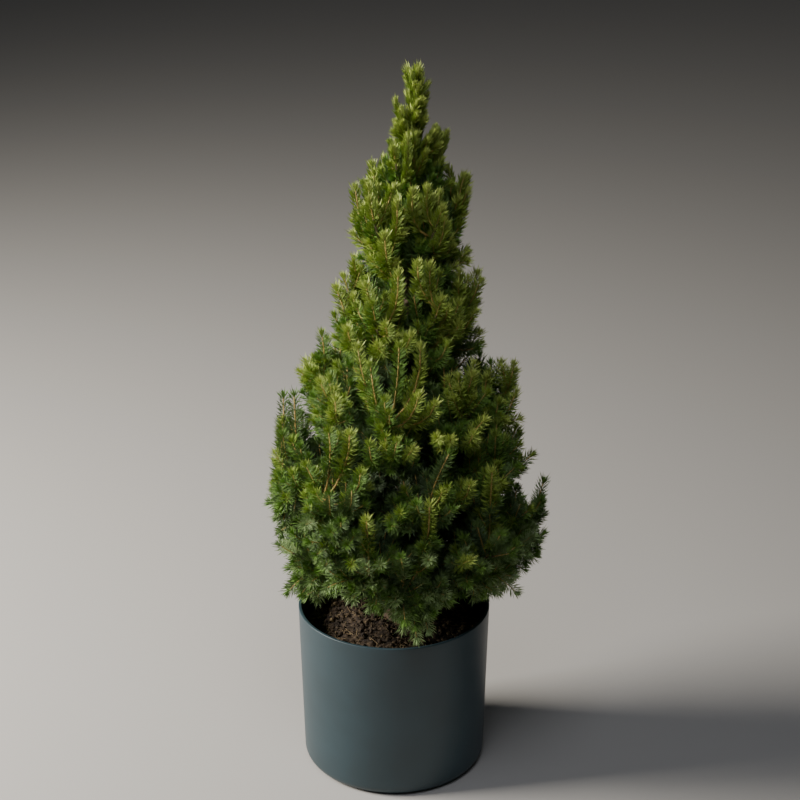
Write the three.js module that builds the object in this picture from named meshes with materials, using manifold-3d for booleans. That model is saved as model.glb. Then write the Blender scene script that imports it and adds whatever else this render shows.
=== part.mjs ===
// A dwarf Alberta spruce in a round planter, in millimetres, +Z up.
// The origin is the centre of the planter's flat underside, and -Y is the front.
// Trunk and boughs are tapering limbs. Each mass of foliage is one stem with twigs that branch
// off it by a seeded rule, and every twig ends in sprays of needles.
import * as THREE from "three";
import Module from "manifold-3d";

const wasm = await Module();
wasm.setup();

// Planter: a moulded tub with a slight taper, a rounded foot and a flat underside.
const planter = {
  height: 195,
  rimRadius: 110,
  footRadius: 105.5,
  footRounding: 12,
  wall: 3.6,
  floor: 5,
  rimRounding: 1.5,
  segments: 40,
};

// Root ball: it fills the planter, with a rounded shoulder, and its top rises to a flat seat for the trunk.
const rootBall = {
  seatHeight: 176,
  seatRadius: 22,
  edgeHeight: 166,
  shoulder: 9,
  shoulderTurn: 80,
  mound: 1,
  wallGap: 0.8,
  segments: 24,
};

// Two separate pieces are never closer than this.
const GAP = 0.3;

// Trunk: it leans to the right, sways a little, and tapers from its root flare to the foot of the
// leading shoot. Its rings are level, and crowd towards the flare.
const trunk = {
  foot: rootBall.seatHeight + GAP,
  top: 700,
  footRadius: 7.6,
  topRadius: 1.9,
  flare: 5.5,
  flareHeight: 11,
  leanAtTip: 24,
  tipHeight: 819,
  sway: 2.5,
  swayTurn: 9,
  sides: 8,
  rings: 12,
  crowding: 1.6,
};

// Crown: how far the foliage reaches from the trunk towards +X (right) and -X (left) at each height.
const crown = [
  { height: 190, right: 118, left: 118 },
  { height: 215, right: 134, left: 124 },
  { height: 250, right: 168, left: 142 },
  { height: 340, right: 171, left: 165 },
  { height: 390, right: 150, left: 152 },
  { height: 450, right: 130, left: 143 },
  { height: 490, right: 122, left: 104 },
  { height: 515, right: 88, left: 97 },
  { height: 590, right: 80, left: 76 },
  { height: 690, right: 64, left: 62 },
  { height: 716, right: 44, left: 40 },
  { height: 755, right: 33, left: 29 },
  { height: 790, right: 23, left: 22 },
  { height: 823, right: 14, left: 14 },
];

// Whorls of limbs, from the lowest up. Each limb leaves the trunk near the height foot, and its tip
// reaches the crown's outline near the height tip. out and up place the bend: how far along its reach
// and how far up its rise it lies. bare is the share of the limb that carries no foliage, and lean
// is how many degrees its twigs turn away from it. heart is the radius of the mass's dense middle.
// On a whorl with boughs the bare share is a bough of its own, and otherwise the foliage's stem goes
// on to the trunk.
const whorls = [
  {
    name: "skirt", limbs: 6, turn: 30, foot: 184, tip: 220,
    out: 0.5, up: 2, bare: 0.3, lean: 56, heart: 36, boughs: false,
  },
  {
    name: "low", limbs: 7, turn: 0, foot: 222, tip: 308,
    out: 0.58, up: 0.34, bare: 0.36, lean: 56, heart: 40, boughs: true,
  },
  {
    name: "broad", limbs: 7, turn: 26, foot: 256, tip: 392,
    out: 0.62, up: 0.34, bare: 0.32, lean: 52, heart: 40, boughs: true,
  },
  {
    name: "middle", limbs: 7, turn: 12, foot: 334, tip: 478,
    out: 0.64, up: 0.36, bare: 0.2, lean: 48, heart: 38, boughs: false,
  },
  {
    name: "upper", limbs: 6, turn: 0, foot: 444, tip: 586,
    out: 0.62, up: 0.38, bare: 0.2, lean: 42, heart: 30, boughs: false,
  },
  {
    name: "shoulder", limbs: 5, turn: 12, foot: 560, tip: 690,
    out: 0.64, up: 0.4, bare: 0.2, lean: 38, heart: 26, boughs: false,
  },
  {
    name: "crest", limbs: 3, turn: 0, foot: 660, tip: 738,
    out: 0.66, up: 0.42, bare: 0.1, lean: 32, heart: 22, boughs: false,
  },
];
const footStagger = 7;

// Growth: how a limb strays from its whorl, how thick it is, and how twigs leave it. A limb's radius
// is tipRadius at its tip, and grows by taper for each millimetre back from there. Twigs roll round
// it by the golden ratio, through rollRange degrees from rollFrom, and tend upward.
const growth = {
  azimuthJitter: 8,
  tipJitter: 14,
  tipRadius: 1.2,
  taper: 0.012,
  triesPerLimb: 34,
  fewestTwigs: 3.4,
  limbPerTwig: 76,
  lastTwig: 0.88,
  stemIntoHeart: 0.1,
  rollFrom: 150,
  rollRange: 240,
  leanJitter: 22,
  upwardPull: 0.36,
};
const GOLDEN_RATIO = 0.618034;

// The leading shoot: the last mass, upright on the trunk's top, with twigs on all its sides.
const leader = { number: 90, lean: 24, heart: 9 };

// Space: masses are held apart by planes between the outer parts of their limbs. Foliage keeps
// this far above the planter's rim, or outside it.
const space = {
  outerFrom: 0.4,
  lineSteps: 12,
  aboveRim: 2,
  outsideRim: 3,
};

// Spray: a slim three-sided core that pointed needles stand out of. Its root is sunk into the heart
// of its mass, and it stands out of it by standOut. Where it has less room it is shorter.
const spray = {
  length: 54,
  standOut: 46,
  shortenings: [1, 0.86, 0.72, 0.6],
  rings: [
    { share: 0, radius: 2.2, degrees: 0 },
    { share: 0.34, radius: 5.4, degrees: 60 },
    { share: 0.66, radius: 6.6, degrees: 0 },
  ],
  needle: 11,
  forward: 1.2,
  spread: 12,
  watchedShares: [0.4, 0.6, 0.8, 1],
  tipsApart: 24,
};

// Heart: the dense middle of a mass, where needles hide the twigs. It swells with the space that the
// mass has, and stays inside the crown's outline by a share of the crown's reach.
const heart = {
  shareOfSpace: 0.86,
  inset: 0.22,
  rings: [0.02, 0.36, 0.76, 1],
  fullness: [0.65, 1, 0.9, 0.4],
  fullnessAtTwigs: 0.9,
  overStem: 0.5,
  shrinkStep: 2,
  end: 0.92,
  sides: 6,
};

const colour = (hex, roughness) => new THREE.MeshStandardMaterial({ color: hex, roughness, metalness: 0 });
const materials = {
  planter: colour(0x4a565a, 0.55),
  soil: colour(0x4a3828, 0.95),
  bark: colour(0x8a6f58, 0.85),
  needles: colour(0x3f5e22, 0.6),
};

const radians = THREE.MathUtils.degToRad;
const vec = (x, y, z) => new THREE.Vector3(x, y, z);
const UP = vec(0, 0, 1);

// A repeatable number from 0 to 1 for each trio of whole numbers.
function chance(limb, twig, use) {
  const wave = Math.sin(limb * 12.9898 + twig * 78.233 + use * 37.719) * 43758.5453;
  return wave - Math.floor(wave);
}

// Two directions square to the given one, and to each other. The first is level.
function squareTo(direction) {
  const helper = Math.abs(direction.z) < 0.98 ? UP : vec(1, 0, 0);
  const side = new THREE.Vector3().crossVectors(helper, direction).normalize();
  const over = new THREE.Vector3().crossVectors(direction, side);
  return [side, over];
}

function solidOf(points, triangles) {
  const vertProperties = new Float32Array(points.flatMap((p) => [p.x, p.y, p.z]));
  const triVerts = new Uint32Array(triangles.flat());
  return new wasm.Manifold(new wasm.Mesh({ numProp: 3, vertProperties, triVerts }));
}

// A closed solid of rings round the centres, each square to its own axis, with a flat end at each
// side. radiusAt gives the radius of a ring in a direction that points out from its centre.
function ringedSolid(centres, axes, sides, radiusAt) {
  const points = [];
  const side = squareTo(axes[0])[0];
  centres.forEach((centre, i) => {
    side.addScaledVector(axes[i], -side.dot(axes[i])).normalize();
    const over = new THREE.Vector3().crossVectors(axes[i], side);
    for (let k = 0; k < sides; k += 1) {
      const turn = (2 * Math.PI * k) / sides;
      const outward = side.clone().multiplyScalar(Math.cos(turn)).addScaledVector(over, Math.sin(turn));
      points.push(centre.clone().addScaledVector(outward, radiusAt(i, outward, centre)));
    }
  });
  const triangles = [];
  for (let i = 0; i + 1 < centres.length; i += 1) {
    for (let k = 0; k < sides; k += 1) {
      const a = i * sides + k;
      const b = i * sides + ((k + 1) % sides);
      triangles.push([a, b, b + sides], [a, b + sides, a + sides]);
    }
  }
  const last = (centres.length - 1) * sides;
  for (let k = 1; k + 1 < sides; k += 1) {
    triangles.push([0, k + 1, k], [last, last + k, last + k + 1]);
  }
  return solidOf(points, triangles);
}

// One spray: three corners at its root, at its collar and at its waist, each ring turned a sixth of
// a turn from the one before, and its tip. Needles are drawn out of faces beyond the collar only,
// so that none is rooted inside the heart.
function sprayShape(root, direction, length) {
  const [side, over] = squareTo(direction);
  const points = spray.rings.flatMap(({ share, radius, degrees }) =>
    [0, 120, 240].map((step) => root.clone()
      .addScaledVector(direction, share * length)
      .addScaledVector(side, radius * Math.cos(radians(degrees + step)))
      .addScaledVector(over, radius * Math.sin(radians(degrees + step)))));
  const tip = points.push(root.clone().addScaledVector(direction, length)) - 1;
  const triangles = [[0, 2, 1]];
  const needled = [];
  for (let k = 0; k < 3; k += 1) {
    const next = (k + 1) % 3;
    triangles.push([k, next, 3 + k], [3 + k, next, 3 + next], [3 + k, 6 + next, 6 + k]);
    needled.push([3 + k, 3 + next, 6 + next], [6 + k, 6 + next, tip]);
  }
  for (const [a, b, c] of needled) {
    const face = new THREE.Triangle(points[a], points[b], points[c]);
    const outward = face.getNormal(vec(0, 0, 0)).addScaledVector(direction, spray.forward).normalize();
    const point = points.push(face.getMidpoint(vec(0, 0, 0)).addScaledVector(outward, spray.needle)) - 1;
    triangles.push([a, b, point], [b, c, point], [c, a, point]);
  }
  return { points, triangles };
}

// The trunk's centre and radius at a height.
function trunkCentre(height) {
  const share = (height - trunk.foot) / (trunk.tipHeight - trunk.foot);
  return vec(trunk.leanAtTip * share, trunk.sway * Math.sin(share * trunk.swayTurn) * share, height);
}
function trunkRadius(height) {
  const share = (height - trunk.foot) / (trunk.top - trunk.foot);
  const flare = trunk.flare * Math.exp(-(height - trunk.foot) / trunk.flareHeight);
  return trunk.footRadius + (trunk.topRadius - trunk.footRadius) * share + flare;
}
function trunkSolid(extra) {
  const heights = Array.from({ length: trunk.rings + 1 }, (_, i) =>
    trunk.foot + (trunk.top - trunk.foot) * (i / trunk.rings) ** trunk.crowding);
  const axes = heights.map(() => UP);
  return ringedSolid(heights.map(trunkCentre), axes, trunk.sides, (i) => trunkRadius(heights[i]) + extra);
}

// How far the crown reaches at a height, the two sides' reaches blended round the trunk.
function crownReach(height, azimuth) {
  const next = crown.findIndex((row) => row.height > height);
  const upper = crown[next === -1 ? crown.length - 1 : Math.max(next, 1)];
  const lower = crown[crown.indexOf(upper) - 1];
  const share = THREE.MathUtils.clamp((height - lower.height) / (upper.height - lower.height), 0, 1);
  const right = lower.right + (upper.right - lower.right) * share;
  const left = lower.left + (upper.left - lower.left) * share;
  return (right + left) / 2 + ((right - left) / 2) * Math.cos(azimuth);
}
function insideCrown(point, share = 1) {
  const centre = trunkCentre(point.z);
  const [x, y] = [point.x - centre.x, point.y - centre.y];
  return point.z < crown.at(-1).height && Math.hypot(x, y) < share * crownReach(point.z, Math.atan2(y, x));
}

// What every limb has: its curve, its radius, the line of its bare part, and the line that its
// space is measured from.
function limbOn(curve, outerFrom, values) {
  const length = curve.getLength();
  const shares = Array.from({ length: space.lineSteps + 1 }, (_, i) => i / space.lineSteps);
  return {
    ...values,
    curve,
    length,
    radiusAt: (share) => growth.tipRadius + growth.taper * length * (1 - share),
    bareLine: [0, 0.5, 1].map((share) => curve.getPoint(share * values.bare)),
    line: shares.map((share) => curve.getPoint(outerFrom + (1 - outerFrom) * share)),
  };
}

// A limb's centre line bends once, from its foot on the trunk to its tip.
function growLimb(whorl, index, number) {
  const stray = (use) => 2 * chance(number, 0, use) - 1;
  const azimuth = radians(whorl.turn + (360 * index) / whorl.limbs + growth.azimuthJitter * stray(1));
  const tipHeight = whorl.tip + growth.tipJitter * stray(2);
  const reach = crownReach(tipHeight, azimuth) - 1;
  const outward = vec(Math.cos(azimuth), Math.sin(azimuth), 0);
  const foot = trunkCentre(whorl.foot + footStagger * ((index * 2) % whorl.limbs));
  const tip = trunkCentre(tipHeight).addScaledVector(outward, reach);
  const bend = foot.clone().addScaledVector(outward, reach * whorl.out);
  bend.z += (tip.z - foot.z) * whorl.up;
  return limbOn(new THREE.QuadraticBezierCurve3(foot, bend, tip), space.outerFrom, {
    name: whorl.name + "_" + (index + 1),
    number,
    bare: whorl.bare,
    boughs: whorl.boughs,
    lean: whorl.lean,
    heart: whorl.heart,
    rollRange: growth.rollRange,
  });
}

function growLeader() {
  const heights = [trunk.top + GAP, (trunk.top + trunk.tipHeight) / 2, trunk.tipHeight];
  return limbOn(new THREE.QuadraticBezierCurve3(...heights.map(trunkCentre)), 0, {
    name: "leader",
    number: leader.number,
    bare: 0,
    boughs: false,
    lean: leader.lean,
    heart: leader.heart,
    rollRange: 360,
  });
}

const limbs = whorls.flatMap((whorl, w) =>
  Array.from({ length: whorl.limbs }, (_, index) => growLimb(whorl, index, 10 * (w + 1) + index)));
limbs.push(growLeader());

// Between two masses lies a plane, halfway between the nearest points of their lines and square to
// the way across. Each mass keeps to its own side of its planes, and so to a space of its own.
for (const own of limbs) {
  own.planes = limbs.filter((other) => other !== own).map((other) => {
    let least = Infinity;
    let plane = null;
    for (const p of own.line) {
      for (const q of other.line) {
        const apart = p.distanceTo(q);
        if (apart < least) {
          least = apart;
          plane = { inward: p.clone().sub(q).normalize(), middle: p.clone().add(q).multiplyScalar(0.5) };
        }
      }
    }
    return plane;
  });
}
function inOwnSpace(point, limb) {
  return limb.planes.every(({ inward, middle }) => inward.dot(point.clone().sub(middle)) > GAP);
}

function distanceToLine(point, line) {
  const near = vec(0, 0, 0);
  const apart = line.slice(1).map((end, i) =>
    new THREE.Line3(line[i], end).closestPointToPoint(point, true, near).distanceTo(point));
  return Math.min(...apart);
}

// A point of foliage stays above the planter's rim, or outside it.
function clearOfPlanter(point) {
  const outside = Math.hypot(point.x, point.y) > planter.rimRadius + space.outsideRim;
  return outside || point.z > planter.height + space.aboveRim;
}

// A spray's centre line stays clear of the trunk and of the bare part of every limb.
function clearOfLimbs(point) {
  const height = Math.min(point.z, trunk.top);
  if (point.distanceTo(trunkCentre(height)) < trunkRadius(height) + spray.spread) return false;
  return limbs.every((limb) =>
    limb.bare === 0 || distanceToLine(point, limb.bareLine) > limb.radiusAt(limb.bare) + spray.spread);
}

function freeSpray(root, direction, length, limb) {
  const shape = sprayShape(root, direction, length);
  const centres = spray.watchedShares.map((s) => root.clone().addScaledVector(direction, s * length));
  const free =
    shape.points.slice(3).every((p) => inOwnSpace(p, limb) && clearOfPlanter(p) && insideCrown(p)) &&
    centres.every(clearOfLimbs);
  return free ? solidOf(shape.points, shape.triangles) : null;
}

// Rings round a limb's curve at the given shares of it.
function limbRings(limb, shares, sides, radiusAt) {
  const centres = shares.map((s) => limb.curve.getPoint(s));
  const axes = shares.map((s) => limb.curve.getTangent(s));
  return ringedSolid(centres, axes, sides, radiusAt);
}

function limbPiece(limb, from, to, steps, sides) {
  const shares = Array.from({ length: steps + 1 }, (_, i) => from + ((to - from) * i) / steps);
  return limbRings(limb, shares, sides, (i) => limb.radiusAt(shares[i]));
}

// The share of a limb that lies a distance further along it than the given share.
function shareBeyond(limb, share, distance) {
  const step = 0.01;
  const speed = limb.curve.getPoint(share).distanceTo(limb.curve.getPoint(share + step)) / step;
  return share + distance / speed;
}

// How far the heart swells from a centre on its limb in one direction: a share of the way to the
// nearest plane round its space, and no further than the inset allows.
function heartRadius(limb, centre, outward, fullness) {
  let radius = limb.heart * fullness;
  for (const { inward, middle } of limb.planes) {
    const closing = -inward.dot(outward);
    const room = inward.dot(centre.clone().sub(middle)) - GAP;
    if (closing > 0) radius = Math.min(radius, (heart.shareOfSpace * room) / closing);
  }
  const least = limb.radiusAt(limb.bare) + heart.overStem;
  const fits = () => {
    const corner = centre.clone().addScaledVector(outward, radius);
    return insideCrown(corner, 1 - heart.inset) && clearOfPlanter(corner);
  };
  while (radius > least && !fits()) radius -= heart.shrinkStep;
  return Math.max(radius, least);
}

function heartSolid(limb) {
  const shares = heart.rings.map((s) => limb.bare + (heart.end - limb.bare) * s);
  return limbRings(limb, shares, heart.sides, (i, outward, centre) =>
    heartRadius(limb, centre, outward, heart.fullness[i]));
}

// The direction of a twig that leaves the limb at a share of its length, rolled round it and pulled upward.
function twigDirection(limb, share, roll, lean) {
  const along = limb.curve.getTangent(share);
  const [side, over] = squareTo(along);
  return along
    .multiplyScalar(Math.cos(lean))
    .addScaledVector(side, Math.sin(lean) * Math.cos(roll))
    .addScaledVector(over, Math.sin(lean) * Math.sin(roll))
    .addScaledVector(UP, growth.upwardPull)
    .normalize();
}

// One mass of foliage: a stem, its dense heart, and the sprays that end its twigs. A spray is
// shortened until it fits, and skipped where even the shortest doesn't.
function massSolid(limb) {
  const { curve, number } = limb;
  const start = limb.boughs ? shareBeyond(limb, limb.bare, GAP) : 0;
  const endRoot = curve.getPoint(growth.lastTwig);
  const endWay = curve.getPoint(1).sub(endRoot);
  const end = sprayShape(endRoot, endWay.clone().normalize(), endWay.length());
  const parts = [
    limbPiece(limb, start, limb.bare + growth.stemIntoHeart, 2, 3),
    heartSolid(limb),
    solidOf(end.points, end.triangles),
  ];
  const tips = [curve.getPoint(1)];
  const most = Math.round(growth.fewestTwigs + limb.length / growth.limbPerTwig);
  const rollStart = chance(number, 0, 4);
  for (let j = 0; j < growth.triesPerLimb && tips.length <= most; j += 1) {
    const share = growth.lastTwig - (growth.lastTwig - limb.bare) * (j / growth.triesPerLimb);
    const roll = radians(growth.rollFrom + limb.rollRange * ((rollStart + GOLDEN_RATIO * j) % 1));
    const lean = radians(limb.lean + growth.leanJitter * (chance(number, j, 5) - 0.5));
    const direction = twigDirection(limb, share, roll, lean);
    const centre = curve.getPoint(share);
    const covered = heartRadius(limb, centre, direction, heart.fullnessAtTwigs);
    for (const cut of spray.shortenings) {
      const tipReach = covered + spray.standOut * cut;
      const length = Math.min(spray.length * cut, tipReach);
      const root = centre.clone().addScaledVector(direction, tipReach - length);
      const tip = centre.clone().addScaledVector(direction, tipReach);
      const apart = Math.min(...tips.map((other) => other.distanceTo(tip)));
      const twig = apart > spray.tipsApart ? freeSpray(root, direction, length, limb) : null;
      if (twig) {
        parts.push(twig);
        tips.push(tip);
        break;
      }
    }
  }
  return wasm.Manifold.union(parts);
}

// Of a fused solid's separate bodies the largest is kept, so that scraps and sealed hollows go.
function largestOf(solid) {
  return solid.decompose().sort((a, b) => b.volume() - a.volume())[0];
}

const tree = new THREE.Group();

function add(name, solid, material) {
  const mesh = solid.getMesh();
  const geometry = new THREE.BufferGeometry();
  geometry.setAttribute("position", new THREE.BufferAttribute(mesh.vertProperties, 3));
  geometry.setIndex(new THREE.BufferAttribute(mesh.triVerts, 1));
  const made = new THREE.Mesh(geometry, material);
  made.name = name;
  tree.add(made);
}

// A lathe profile starts and ends on the axis.
function turned(name, profile, segments, material) {
  const geometry = new THREE.LatheGeometry(profile, segments);
  geometry.rotateX(Math.PI / 2);
  const mesh = new THREE.Mesh(geometry, material);
  mesh.name = name;
  tree.add(mesh);
}

// Part of a circle round a centre, from one angle to another.
function arc(x, z, radius, from, to, steps) {
  return Array.from({ length: steps + 1 }, (_, i) => {
    const turn = radians(from + ((to - from) * i) / steps);
    return new THREE.Vector2(x + radius * Math.cos(turn), z + radius * Math.sin(turn));
  });
}

function makePlanter() {
  const p = planter;
  const inside = p.footRounding - p.wall;
  turned(
    "planter",
    [
      new THREE.Vector2(0, 0),
      ...arc(p.footRadius - p.footRounding, p.footRounding, p.footRounding, -90, 0, 3),
      ...arc(p.rimRadius - p.rimRounding, p.height - p.rimRounding, p.rimRounding, 0, 90, 1),
      ...arc(p.rimRadius - p.wall + p.rimRounding, p.height - p.rimRounding, p.rimRounding, 90, 180, 1),
      ...arc(p.footRadius - p.wall - inside, p.floor + inside, inside, 0, -90, 2),
      new THREE.Vector2(0, p.floor),
    ],
    p.segments,
    materials.planter,
  );
}

// The root ball's radius at a height: the planter's inner wall, less a small gap.
function rootBallRadius(height) {
  const share = (height - planter.footRounding) / (planter.height - planter.footRounding);
  const outside = planter.footRadius + (planter.rimRadius - planter.footRadius) * share;
  return outside - planter.wall - rootBall.wallGap;
}

function makeRootBall() {
  const r = rootBall;
  const bottom = planter.floor + GAP;
  const round = planter.footRounding;
  const shoulderFoot = r.edgeHeight - r.shoulder;
  turned(
    "soil",
    [
      new THREE.Vector2(0, bottom),
      new THREE.Vector2(rootBallRadius(bottom + round) - round, bottom),
      new THREE.Vector2(rootBallRadius(bottom + round), bottom + round),
      ...arc(rootBallRadius(shoulderFoot) - r.shoulder, shoulderFoot, r.shoulder, 0, r.shoulderTurn, 3),
      new THREE.Vector2(
        (rootBallRadius(shoulderFoot) + r.seatRadius) / 2, (r.edgeHeight + r.seatHeight) / 2 + r.mound),
      new THREE.Vector2(r.seatRadius, r.seatHeight),
      new THREE.Vector2(0, r.seatHeight),
    ],
    r.segments,
    materials.soil,
  );
}

makePlanter();
makeRootBall();
add("trunk", trunkSolid(0), materials.bark);
const trunkRoom = trunkSolid(GAP);
for (const limb of limbs) {
  if (limb.boughs) {
    const bough = limbPiece(limb, 0, limb.bare, 2, 5).subtract(trunkRoom);
    add("bough_" + limb.name, largestOf(bough), materials.bark);
  }
  add("foliage_" + limb.name, largestOf(massSolid(limb).subtract(trunkRoom)), materials.needles);
}

export default tree;
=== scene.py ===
# A dwarf Alberta spruce in a round planter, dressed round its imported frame.
# The plant's lengths are millimetres until a mesh is made, and the stage's are metres. +Z is up and
# -Y is the front.
import bpy
import numpy as np
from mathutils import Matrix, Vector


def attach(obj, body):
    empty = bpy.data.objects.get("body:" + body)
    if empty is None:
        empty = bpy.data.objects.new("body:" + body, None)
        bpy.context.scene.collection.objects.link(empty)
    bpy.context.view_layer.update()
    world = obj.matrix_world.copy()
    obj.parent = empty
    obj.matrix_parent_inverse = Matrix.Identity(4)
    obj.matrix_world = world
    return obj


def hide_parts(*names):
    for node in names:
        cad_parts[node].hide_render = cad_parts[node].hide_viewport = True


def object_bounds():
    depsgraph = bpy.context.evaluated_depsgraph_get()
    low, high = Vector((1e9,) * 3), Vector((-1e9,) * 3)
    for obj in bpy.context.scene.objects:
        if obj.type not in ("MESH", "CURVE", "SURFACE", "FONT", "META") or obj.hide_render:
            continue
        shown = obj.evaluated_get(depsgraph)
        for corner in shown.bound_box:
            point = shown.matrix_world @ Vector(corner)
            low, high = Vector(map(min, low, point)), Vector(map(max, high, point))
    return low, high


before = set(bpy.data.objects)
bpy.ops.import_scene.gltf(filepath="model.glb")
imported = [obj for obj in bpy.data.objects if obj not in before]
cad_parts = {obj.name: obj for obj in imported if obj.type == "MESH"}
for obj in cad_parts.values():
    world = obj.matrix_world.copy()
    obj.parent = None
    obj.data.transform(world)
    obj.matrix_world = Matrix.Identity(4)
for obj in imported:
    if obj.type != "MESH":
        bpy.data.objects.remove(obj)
cad_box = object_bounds()
NODES = sorted(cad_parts)

# PLANTER
# A round cover pot with a slight taper, a rounded foot and a thin wall. It is moulded in blue-grey
# polypropylene, in one piece, with a flat lip. The plant stands in it in its own root ball.
RIM_RADIUS = 110.0
POT_HEIGHT = 195.0
FOOT_RADIUS = 105.5
FOOT_ROUNDING = 12.0
WALL = 3.6
POT_FLOOR = 5.0
LIP_ROUNDING = 0.9
STRAIGHT_WALL = 180.0
UNDERSIDE_RADII = (12, 30, 50, 70, 86)
FLOOR_RADII = (86, 60, 30, 12)
POT_SIDES = 192


def linear(hex_colour):
    """An sRGB hex colour as linear red, green, blue and full alpha."""
    value = np.array([int(hex_colour[i : i + 2], 16) / 255 for i in (1, 3, 5)])
    value = np.where(value <= 0.04045, value / 12.92, ((value + 0.055) / 1.055) ** 2.4)
    return (*value, 1.0)


def add_node(tree, kind, links=(), **settings):
    """Adds a node. A setting sets the input of its name, and a link is (from socket, to this input)."""
    made = tree.nodes.new(kind)
    for name, value in settings.items():
        made.inputs[name].default_value = value
    for source, target in links:
        tree.links.new(source, made.inputs[target])
    return made


def surface(name, roughness, **settings):
    """A material with one Principled shader. Returns it, its tree, its shader and Object coordinates."""
    made = bpy.data.materials.new(name)
    made.use_nodes = True
    tree = made.node_tree
    shader = tree.nodes["Principled BSDF"]
    shader.inputs["Roughness"].default_value = roughness
    for key, value in settings.items():
        shader.inputs[key].default_value = value
    place = add_node(tree, "ShaderNodeTexCoord").outputs["Object"]
    return made, tree, shader, place


def mottled(tree, shader, place, size_mm, stops, detail=3.0):
    """Colours the shader by noise with cells size_mm across. A stop is (position, hex colour)."""
    noise = add_node(tree, "ShaderNodeTexNoise", [(place, "Vector")], Scale=1000 / size_mm, Detail=detail)
    ramp = add_node(tree, "ShaderNodeValToRGB", [(noise.outputs["Fac"], "Fac")])
    elements = ramp.color_ramp.elements
    while len(elements) < len(stops):
        elements.new(0.5)
    for element, (position, hex_colour) in zip(elements, stops):
        element.position = position
        element.color = linear(hex_colour)
    tree.links.new(ramp.outputs["Color"], shader.inputs["Base Color"])


def grained(tree, shader, place, size_mm, height_mm, strength=1.0):
    """Bumps the shader by noise whose grains are size_mm across and height_mm high."""
    noise = add_node(tree, "ShaderNodeTexNoise", [(place, "Vector")], Scale=1000 / size_mm, Detail=2.0)
    bump = add_node(tree, "ShaderNodeBump", [(noise.outputs["Fac"], "Height")],
                    Distance=height_mm / 1000, Strength=strength)
    tree.links.new(bump.outputs["Normal"], shader.inputs["Normal"])


def piece(name, points, faces, material, nodes=(), smooth=True):
    """A mesh object from points in millimetres and an array of faces, riding on the plant's one body."""
    mesh = bpy.data.meshes.new(name)
    corners = faces.shape[1]
    mesh.vertices.add(len(points))
    mesh.vertices.foreach_set("co", (points / 1000).astype(np.float32).ravel())
    mesh.loops.add(faces.size)
    mesh.loops.foreach_set("vertex_index", faces.astype(np.int32).ravel())
    mesh.polygons.add(len(faces))
    mesh.polygons.foreach_set("loop_start", np.arange(len(faces), dtype=np.int32) * corners)
    mesh.polygons.foreach_set("use_smooth", np.full(len(faces), smooth))
    mesh.update(calc_edges=True)
    mesh.validate()
    mesh.materials.append(material)
    made = bpy.data.objects.new(name, mesh)
    bpy.context.scene.collection.objects.link(made)
    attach(made, "root")
    if nodes:
        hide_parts(*nodes)


def skin(rings, sides, count=1):
    """Triangles of count closed skins. Each has its rings of points in turn, then a point at each end."""
    ring, side = np.meshgrid(np.arange(rings - 1), np.arange(sides), indexing="ij")
    a = (ring * sides + side).ravel()
    b = (ring * sides + (side + 1) % sides).ravel()
    wall = np.concatenate([np.stack([a, b, b + sides], 1), np.stack([a, b + sides, a + sides], 1)])
    here = np.arange(sides)
    after = (here + 1) % sides
    first = rings * sides
    last = (rings - 1) * sides
    near = np.stack([np.full(sides, first), after, here], 1)
    far = np.stack([np.full(sides, first + 1), last + here, last + after], 1)
    one = np.concatenate([wall, near, far])
    return (one[None] + np.arange(count)[:, None, None] * (first + 2)).reshape(-1, 3)


def turned(profile, sides):
    """Points of a profile of (radius, height) turned round the Z axis, upward on the outside."""
    turn = np.arange(sides) * 2 * np.pi / sides
    radius, height = np.array(profile).T
    ring = np.stack([radius[:, None] * np.cos(turn), radius[:, None] * np.sin(turn),
                     np.repeat(height[:, None], sides, 1)], 2).reshape(-1, 3)
    return np.concatenate([ring, [[0, 0, height[0]], [0, 0, height[-1]]]])


def arc(x, z, radius, start, end, steps):
    """Points of an arc round (x, z), with angles in degrees."""
    turn = np.radians(np.linspace(start, end, steps))
    return list(zip(x + radius * np.cos(turn), z + radius * np.sin(turn)))


inside_rounding = FOOT_ROUNDING - WALL
pot_profile = (
    [(r, 0.0) for r in UNDERSIDE_RADII]
    + arc(FOOT_RADIUS - FOOT_ROUNDING, FOOT_ROUNDING, FOOT_ROUNDING, -90, 0, 14)
    + [(FOOT_RADIUS + (RIM_RADIUS - FOOT_RADIUS) * s, FOOT_ROUNDING + STRAIGHT_WALL * s)
       for s in np.linspace(0.06, 0.97, 16)]
    + arc(RIM_RADIUS - LIP_ROUNDING, POT_HEIGHT - LIP_ROUNDING, LIP_ROUNDING, 0, 90, 7)
    + arc(RIM_RADIUS - WALL + LIP_ROUNDING, POT_HEIGHT - LIP_ROUNDING, LIP_ROUNDING, 90, 180, 7)
    + arc(FOOT_RADIUS - WALL - inside_rounding, POT_FLOOR + inside_rounding, inside_rounding, 0, -90, 8)
    + [(r, POT_FLOOR) for r in FLOOR_RADII]
)
# Moulded polypropylene is dull and even, with a soft sheen down the side that faces the light.
pot_plastic, tree, shader, place = surface("moulded_polypropylene", 0.42, IOR=1.49)
mottled(tree, shader, place, 60, [(0.35, "#2c3d43"), (0.65, "#2f4249")])
# The mould's grain is about 0.4 mm, drawn at 0.9 mm so that it shows.
grained(tree, shader, place, 0.9, 0.05, 0.6)
pot_faces = skin(len(pot_profile), POT_SIDES)
piece("pot", turned(pot_profile, POT_SIDES), pot_faces, pot_plastic, ["planter"])

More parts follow.
